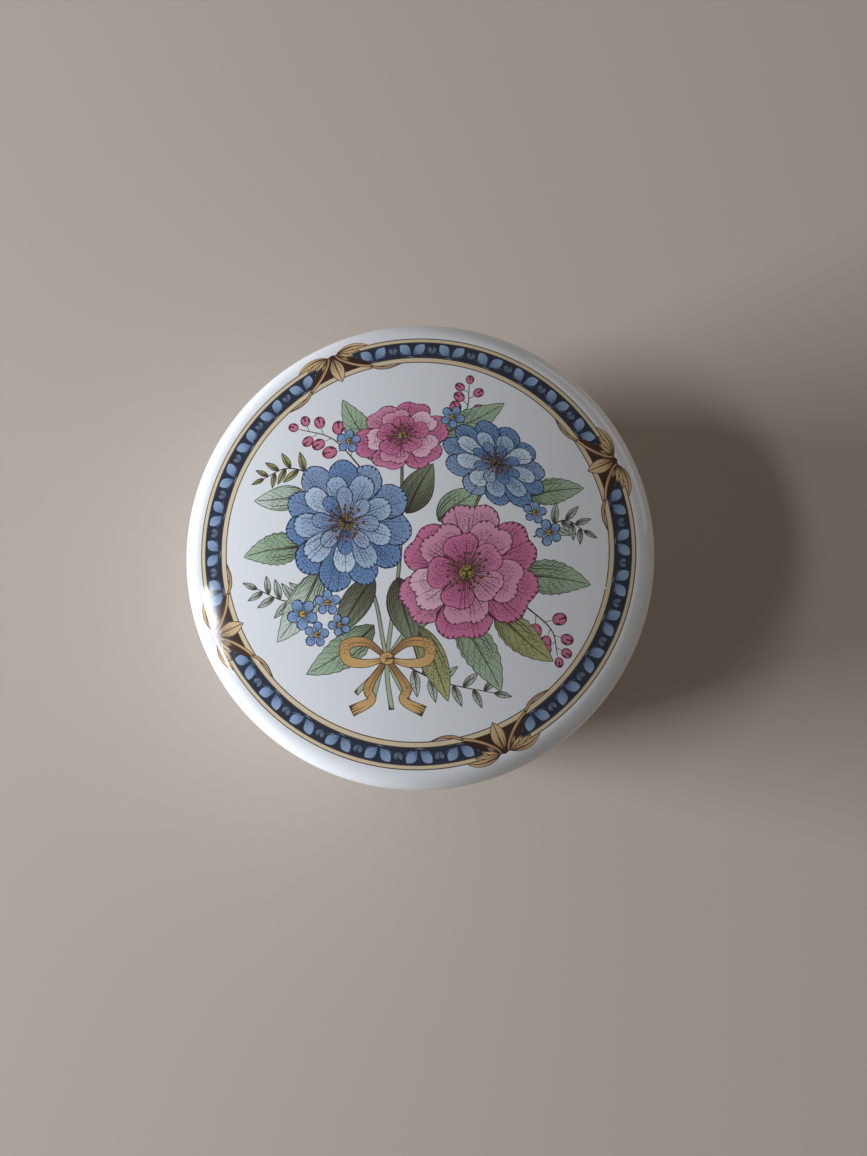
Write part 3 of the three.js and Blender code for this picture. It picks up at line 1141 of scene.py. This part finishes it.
# Outline, hatching from root and tip, middle line, side veins and dots
def engravingGroup(look):
    floats = ("Along", "Across", "Inset", "Lines", "Reach", "Tip Reach", "Veins", "Rib", "Dots",
              "Seed", "Outline")
    tree, given, result = newTree(
        "engraving", "ShaderNodeTree",
        [*((label, "NodeSocketFloat", 0.0) for label in floats), ("Position", "NodeSocketVector", None)],
        [("Ink", "NodeSocketFloat")])

    def m(operation, *values, clamp=False):
        return maths(tree, operation, *values, clamp=clamp)

    def below(value, limit, softness):
        node = place(tree, "ShaderNodeMapRange", {
            "Value": value, "From Min": m("SUBTRACT", limit, softness),
            "From Max": m("ADD", limit, softness), "To Min": 1.0, "To Max": 0.0})
        return node.outputs["Result"]

    # 0 half-way between two of the whole numbers that a phase runs through, and 1 at them
    def fromMiddleOf(phase):
        return m("MULTIPLY", m("ABSOLUTE", m("SUBTRACT", m("FRACT", phase), 0.5)), 2.0)

    wobble = place(tree, "ShaderNodeTexNoise", {
        "Vector": given["Position"], "Scale": look["wobbleScale"], "Detail": 1.0})
    shift = m("MULTIPLY_ADD", m("SUBTRACT", wobble.outputs["Fac"], 0.5), look["wobble"], given["Inset"])
    outline = below(shift, given["Outline"], look["softness"])

    # Each hatch line has its own length, and thins towards its end
    phase = m("MULTIPLY_ADD", given["Across"], given["Lines"],
              m("MULTIPLY", given["Seed"], look["copyShift"]))
    chance = place(tree, "ShaderNodeTexWhiteNoise", {
        "W": m("ADD", m("FLOOR", phase), m("MULTIPLY", given["Seed"], look["copyChance"]))},
        noise_dimensions="1D")
    length = m("MULTIPLY_ADD", chance.outputs["Value"], look["raggedHatch"], look["shortestHatch"])

    def fading(distance, reach):
        return m("SUBTRACT", 1.0, m("DIVIDE", distance, m(
            "MAXIMUM", m("MULTIPLY", reach, length), 0.001)), clamp=True)

    strength = m("MAXIMUM", fading(given["Along"], given["Reach"]),
                 fading(m("SUBTRACT", 1.0, given["Along"]), given["Tip Reach"]))
    width = m("MULTIPLY", m("POWER", strength, look["hatchTaper"]), look["hatchWidth"])
    hatch = m("MULTIPLY", below(fromMiddleOf(phase), width, look["hatchSoftness"]), m(
        "GREATER_THAN", strength, 0.01))
    hatch = m("MULTIPLY", hatch, m("GREATER_THAN", given["Lines"], 0.5))

    spread = m("ABSOLUTE", given["Across"])
    veinPhase = m("SUBTRACT", m("MULTIPLY", given["Along"], given["Veins"]),
                  m("MULTIPLY", spread, look["veinSlant"]))
    veins = m("MULTIPLY", below(fromMiddleOf(veinPhase), look["veinWidth"], look["veinSoftness"]),
              m("GREATER_THAN", given["Veins"], 0.5))
    halfWidth = m("DIVIDE", given["Inset"], m("MAXIMUM", m("SUBTRACT", 1.0, spread), 0.02))
    ribWidth = m("MULTIPLY_ADD", given["Along"], -look["ribTaper"], look["ribWidth"])
    rib = m("MULTIPLY", below(m("MULTIPLY", spread, halfWidth), ribWidth, look["softness"]), given["Rib"])
    rib = m("MULTIPLY", rib, m("LESS_THAN", given["Along"], look["ribEnd"]))

    # Dots lie where the hatching from the root ends
    cells = place(tree, "ShaderNodeTexVoronoi", {
        "Vector": given["Position"], "Scale": look["dotScale"]}, voronoi_dimensions="2D")
    fromEnd = m("ABSOLUTE", m("SUBTRACT", given["Along"], m("ADD", given["Reach"], 0.02)))
    dotted = m("MULTIPLY", below(cells.outputs["Distance"], look["dotSize"], look["dotSoftness"]), m(
        "LESS_THAN", fromEnd, m("MULTIPLY", given["Dots"], 0.5)))

    ink = m("MAXIMUM", m("MAXIMUM", outline, hatch),
            m("MAXIMUM", rib, m("MULTIPLY", veins, look["veinInk"])))
    tree.links.new(m("MAXIMUM", ink, m("MULTIPLY", dotted, look["dotInk"])), result.inputs["Ink"])
    return tree


# The border's plain rings, by distance from the middle in millimetres
def ringsGroup(settings):
    tree, given, result = newTree(
        "border rings", "ShaderNodeTree", [("Position", "NodeSocketVector", None)],
        [("Colour", "NodeSocketColor"), ("Printed", "NodeSocketFloat")])
    low, high = settings["innerLine"] - 1, settings["outerLine"] + 1
    share = place(tree, "ShaderNodeMapRange", {
        "Value": radiusOf(tree, given["Position"]), "From Min": low * mm, "From Max": high * mm})
    ramp = place(tree, "ShaderNodeValToRGB", {"Fac": share.outputs["Result"]})
    ramp.color_ramp.interpolation = "CONSTANT"
    half = settings["lineWidth"] / 2
    thin = half * settings["bandEdge"]
    bands = (
        (settings["innerLine"] - half, ringBrown, 1), (settings["innerLine"] + half, ringOchre, 1),
        (settings["innerBand"] - half, ringBrown, 1), (settings["innerBand"] + thin, ringNavy, 1),
        (settings["outerBand"] - thin, ringBrown, 1), (settings["outerBand"] + half, ringOchre, 1),
        (settings["outerLine"] - half, ringBrown, 1), (settings["outerLine"] + half, ringBrown, 0))
    elements = ramp.color_ramp.elements
    elements.remove(elements[1])
    elements[0].color = (1, 1, 1, 0)
    for edge, colour, printed in bands:
        stop = elements.new((edge - low) / (high - low))
        stop.color = (*colour, printed)
    tree.links.new(ramp.outputs["Color"], result.inputs["Colour"])
    tree.links.new(ramp.outputs["Alpha"], result.inputs["Printed"])
    return tree


# Slight unevenness of a thick glaze, as a height
def glazeGroup():
    tree, given, result = newTree(
        "glaze ripple", "ShaderNodeTree",
        [("Position", "NodeSocketVector", None), ("Size", "NodeSocketFloat", 5.0),
         ("Height", "NodeSocketFloat", 0.01)],
        [("Height", "NodeSocketFloat")])
    ripple = place(tree, "ShaderNodeTexNoise", {
        "Vector": given["Position"], "Scale": maths(tree, "DIVIDE", 1 / mm, given["Size"]), "Detail": 1.0})
    tree.links.new(maths(tree, "MULTIPLY", ripple.outputs["Fac"], given["Height"]), result.inputs["Height"])
    return tree


def attribute(tree, name):
    return place(tree, "ShaderNodeAttribute", attribute_name=name, attribute_type="GEOMETRY")


def blendColours(tree, share, first, second):
    node = place(tree, "ShaderNodeMix", {0: share}, data_type="RGBA")
    for socket, value in ((node.inputs[6], first), (node.inputs[7], second)):
        if isinstance(value, bpy.types.NodeSocket):
            tree.links.new(value, socket)
        else:
            socket.default_value = (*value, 1)
    return node.outputs[2]


def printedChinaMaterial(engraving, rings, ripple):
    material, tree, surface = newMaterial("printed china")
    where = tree.nodes.new("ShaderNodeTexCoord").outputs["Object"]
    fill, ink = attribute(tree, "printColour"), attribute(tree, "printInk")
    coord, hatch, detail = (
        place(tree, "ShaderNodeSeparateXYZ", {0: attribute(tree, name).outputs["Vector"]}).outputs
        for name in ("printCoord", "printHatch", "printDetail"))
    lines = place(tree, "ShaderNodeGroup", {
        "Along": coord[0], "Across": coord[1], "Inset": coord[2], "Lines": hatch[0],
        "Reach": hatch[1], "Tip Reach": hatch[2], "Veins": detail[0], "Rib": detail[1],
        "Dots": detail[2], "Seed": ink.outputs["Alpha"], "Position": where,
        "Outline": attribute(tree, "printOutline").outputs["Fac"]}, node_tree=engraving)
    bands = place(tree, "ShaderNodeGroup", {"Position": where}, node_tree=rings)
    upper = maths(tree, "GREATER_THAN", axisOf(tree, where, "Z"),
                  (lidForm["seat"] + lidForm["ringsFrom"]) * mm)
    outside = axisOf(tree, tree.nodes.new("ShaderNodeNewGeometry").outputs["Normal"], "Z")
    facing = maths(tree, "MULTIPLY", upper, maths(tree, "GREATER_THAN", outside, 0.0))
    ringShare = maths(tree, "MULTIPLY", bands.outputs["Printed"], facing)
    ground = blendColours(tree, ringShare, glaze["china"], bands.outputs["Colour"])
    drawn = blendColours(tree, fill.outputs["Alpha"], ground, fill.outputs["Color"])
    inkShare = maths(tree, "MULTIPLY", maths(
        tree, "MULTIPLY", lines.outputs["Ink"], fill.outputs["Alpha"]), engraved["darkest"])
    colour = blendColours(tree, inkShare, drawn, ink.outputs["Color"])
    tree.links.new(colour, surface.inputs["Base Color"])
    printed = maths(tree, "MAXIMUM", ringShare, fill.outputs["Alpha"])
    rough = place(tree, "ShaderNodeMapRange", {
        "Value": printed, "To Min": glaze["roughness"], "To Max": glaze["printRoughness"]})
    bare = bareFaces(tree, where, ((lidForm["seat"], glaze["unglazedReach"]),))
    tree.links.new(maths(tree, "MULTIPLY_ADD", bare, glaze["unglazedRoughness"] - glaze["roughness"],
                         rough.outputs["Result"]), surface.inputs["Roughness"])
    finishGlaze(tree, surface, ripple, where, printed)
    return material


def finishGlaze(tree, surface, ripple, where, printed):
    wave = place(tree, "ShaderNodeGroup", {
        "Position": where, "Size": glaze["rippleSize"], "Height": glaze["rippleHeight"] * mm},
        node_tree=ripple)
    height = maths(tree, "MULTIPLY_ADD", printed, glaze["printHeight"] * mm, wave.outputs["Height"])
    bump = place(tree, "ShaderNodeBump", {"Height": height, "Distance": 1.0, "Strength": 1.0})
    tree.links.new(bump.outputs[0], surface.inputs["Normal"])
    surface.inputs["IOR"].default_value = glaze["ior"]
    surface.inputs["Subsurface Weight"].default_value = glaze["scatter"]
    surface.inputs["Subsurface Scale"].default_value = glaze["scatterDepth"] * mm


# 1 on the narrow faces that are left unglazed, by height: the foot, the seat or the ledge
def bareFaces(tree, where, heights):
    z = axisOf(tree, where, "Z")
    share = 0.0
    for height, reach in heights:
        share = maths(tree, "MAXIMUM", share, maths(tree, "COMPARE", z, height * mm, reach * mm))
    return share


# A slim ochre line between two brown ones round the outside of the base
baseLine = {
    "height": 22.6,
    "halfWidth": 0.42,
    "edge": 0.16,
    "outsideRadius": 29.5,
}


def whiteChinaMaterial(ripple, settings):
    material, tree, surface = newMaterial("white china")
    where = tree.nodes.new("ShaderNodeTexCoord").outputs["Object"]
    outside = maths(tree, "GREATER_THAN", radiusOf(tree, where), settings["outsideRadius"] * mm)
    away = maths(tree, "ABSOLUTE", maths(
        tree, "SUBTRACT", axisOf(tree, where, "Z"), settings["height"] * mm))
    whole = settings["halfWidth"] + settings["edge"]
    ochre = maths(tree, "MULTIPLY", outside, maths(tree, "LESS_THAN", away, whole * mm))
    brown = maths(tree, "MULTIPLY", ochre, maths(tree, "GREATER_THAN", away, settings["halfWidth"] * mm))
    banded = blendColours(tree, ochre, glaze["china"], ringOchre)
    tree.links.new(blendColours(tree, brown, banded, ringBrown), surface.inputs["Base Color"])
    ledge = lidForm["seat"] - lidForm["seatGap"]
    bare = bareFaces(tree, where, ((0, glaze["unglazedReach"]), (ledge, glaze["ledgeReach"])))
    rough = place(tree, "ShaderNodeMapRange", {
        "Value": bare, "To Min": glaze["roughness"], "To Max": glaze["unglazedRoughness"]})
    tree.links.new(rough.outputs["Result"], surface.inputs["Roughness"])
    finishGlaze(tree, surface, ripple, where, ochre)
    return material


glazeRipple = glazeGroup()
printedChina = printedChinaMaterial(engravingGroup(engraved), ringsGroup(border), glazeRipple)
whiteChina = whiteChinaMaterial(glazeRipple, baseLine)
repeatRound = ringTree()
pottery = potteryTree(turningTree())


def makeLid(form):
    drawn = inSight(joined([borderPrint(border), posyPrint(posy)]))
    print("print drawn:", len(drawn["triangles"]), "triangles in sight")
    top = printedTop(form, drawn)
    print("print cut to one sheet:", len(top.polygons), "triangles")
    profile = profileObject("lidProfile", lidRun(form))
    mesh = grown("lidPiece", top, pottery, {
        "Profile": profile, "Segments": form["segments"],
        "Seam Radius": form["printedRadius"] * mm, "China": printedChina})
    bpy.data.objects.remove(profile)
    finishTurned(mesh)
    layMap(mesh, form, printMap)
    return asPiece("printed_lid", mesh, "lid")


lid = makeLid(lidForm)
print("lid made:", len(lid.data.polygons), "faces")


# The base: foot ring, rounded heel, slightly bowed side, ledge and raised lip

baseForm = {
    "radius": lidForm["radius"] - lidForm["overhang"],
    "ledge": lidForm["seat"] - lidForm["seatGap"],
    "lipTop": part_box("base")[1].z / mm,
    "swell": 0.25,
    "heel": 6.0,
    "footRadius": 25.5,
    "footWidth": 2.4,
    "footHeight": 1.6,
    "lipRadius": 28.3,
    "lipWall": 1.9,
    "lipTuck": 3.0,
    "innerRadius": 27.9,
    "floor": 4.2,
    "innerHeel": 3.4,
    "edge": 0.45,
    "fillet": 0.4,
    "tuckRound": 1.5,  # the soft bends where the inside wall draws in below the lip
    "segments": 256,
    "heelSteps": 12,
    "sideSteps": 8,
    "edgeSteps": 5,
}


def baseRun(form):
    foot, heel, steps = form["footRadius"], form["heel"], form["edgeSteps"]
    inset = foot - form["footWidth"]
    hubR, hubZ = form["radius"] - heel, form["footHeight"] + heel
    fillet = form["fillet"]
    filletR = foot + fillet
    drop = math.sqrt((heel + fillet) ** 2 - (filletR - hubR) ** 2)
    lean = math.atan2(drop, hubR - filletR)
    run = roundedRun([
        (0, form["footHeight"], 0), (inset, form["footHeight"], fillet), (inset, 0, form["edge"]),
        (foot, 0, form["edge"]), (foot, hubZ - drop, 0)], steps)
    run += arcRun(filletR, hubZ - drop, fillet, fullTurn / 2, lean, steps, -1)[1:]
    run += arcRun(hubR, hubZ, heel, lean - fullTurn / 2, 0, form["heelSteps"])[1:]
    bottom, top = hubZ, form["ledge"] - form["edge"]
    for step in range(1, form["sideSteps"]):
        share = step / form["sideSteps"]
        slope = -form["swell"] * math.pi * math.cos(math.pi * share) / (top - bottom)
        size = math.hypot(1, slope)
        run.append((form["radius"] + form["swell"] * math.sin(math.pi * share),
                    bottom + (top - bottom) * share, 1 / size, slope / size))
    lip, inner = form["lipRadius"], form["lipRadius"] - form["lipWall"]
    tuckZ = form["ledge"] - form["lipTuck"]
    half = form["lipWall"] * 0.49  # just under half, so the two rounds of the rim don't meet
    run += roundedRun([
        (form["radius"], top, 0), (form["radius"], form["ledge"], form["edge"]),
        (lip, form["ledge"], fillet / 2), (lip, form["lipTop"], half), (inner, form["lipTop"], half),
        (inner, form["ledge"], form["tuckRound"]), (form["innerRadius"], tuckZ, form["tuckRound"]),
        (form["innerRadius"], form["floor"], form["innerHeel"]), (0, form["floor"], 0)], steps)
    return run


def makeBase(form):
    profile = profileObject("baseProfile", baseRun(form))
    mesh = grown("basePiece", bpy.data.meshes.new("noTop"), pottery, {
        "Profile": profile, "Segments": form["segments"], "China": whiteChina})
    bpy.data.objects.remove(profile)
    finishTurned(mesh)
    return asPiece("china_base", mesh, "base")


base = makeBase(baseForm)
print("base made:", len(base.data.polygons), "faces")


# A plain pale table, a wide window-like light low on the left with a bright pane above it,
# a dim wall on the right and a dim even room

studio = {
    "tableSize": 3000.0,
    "tableColour": paint(199, 185, 172),
    "tableRoughness": 0.9,
    "roomColour": (1.0, 0.94, 0.87),
    "roomStrength": 0.11,
}

windowLights = {
    "window": {"turn": 185, "rise": 11, "distance": 900.0, "size": (450.0, 330.0),
               "power": 16.4, "colour": (0.85, 0.91, 1.0)},
    "upperPane": {"turn": 190, "rise": 50.4, "distance": 600.0, "size": (165.0, 50.0),
                  "power": 0.7, "colour": (0.9, 0.95, 1.0)},
    "paleWall": {"turn": 40, "rise": 12, "distance": 900.0, "size": (900.0, 360.0),
                 "power": 0.85, "colour": (1.0, 0.96, 0.9)},
}


def makeTable(settings):
    half = settings["tableSize"] * mm / 2
    mesh = bpy.data.meshes.new("table")
    corners = [(-half, -half, 0), (half, -half, 0), (half, half, 0), (-half, half, 0)]
    mesh.from_pydata(corners, [], [(0, 1, 2, 3)])
    material, _, surface = newMaterial("table")
    surface.inputs["Base Color"].default_value = (*settings["tableColour"], 1)
    surface.inputs["Roughness"].default_value = settings["tableRoughness"]
    mesh.materials.append(material)
    added("table", mesh)


def makeLight(name, settings):
    data = bpy.data.lights.new(name, "AREA")
    data.shape = "RECTANGLE"
    data.size, data.size_y = (side * mm for side in settings["size"])
    data.energy = settings["power"]
    data.color = settings["colour"]
    light = added(name, data)
    turn, rise = math.radians(settings["turn"]), math.radians(settings["rise"])
    away = Vector((math.cos(rise) * math.cos(turn), math.cos(rise) * math.sin(turn), math.sin(rise)))
    light.location = away * settings["distance"] * mm
    light.rotation_euler = away.to_track_quat("Z", "Y").to_euler()


def makeRoom(settings):
    world = bpy.data.worlds.new("room")
    world.use_nodes = True
    background = world.node_tree.nodes["Background"]
    background.inputs["Color"].default_value = (*settings["roomColour"], 1)
    background.inputs["Strength"].default_value = settings["roomStrength"]
    bpy.context.scene.world = world
    bpy.context.scene.view_settings.view_transform = "Standard"


makeTable(studio)
for lightName, lightSettings in windowLights.items():
    makeLight(lightName, lightSettings)
makeRoom(studio)
print("studio set")
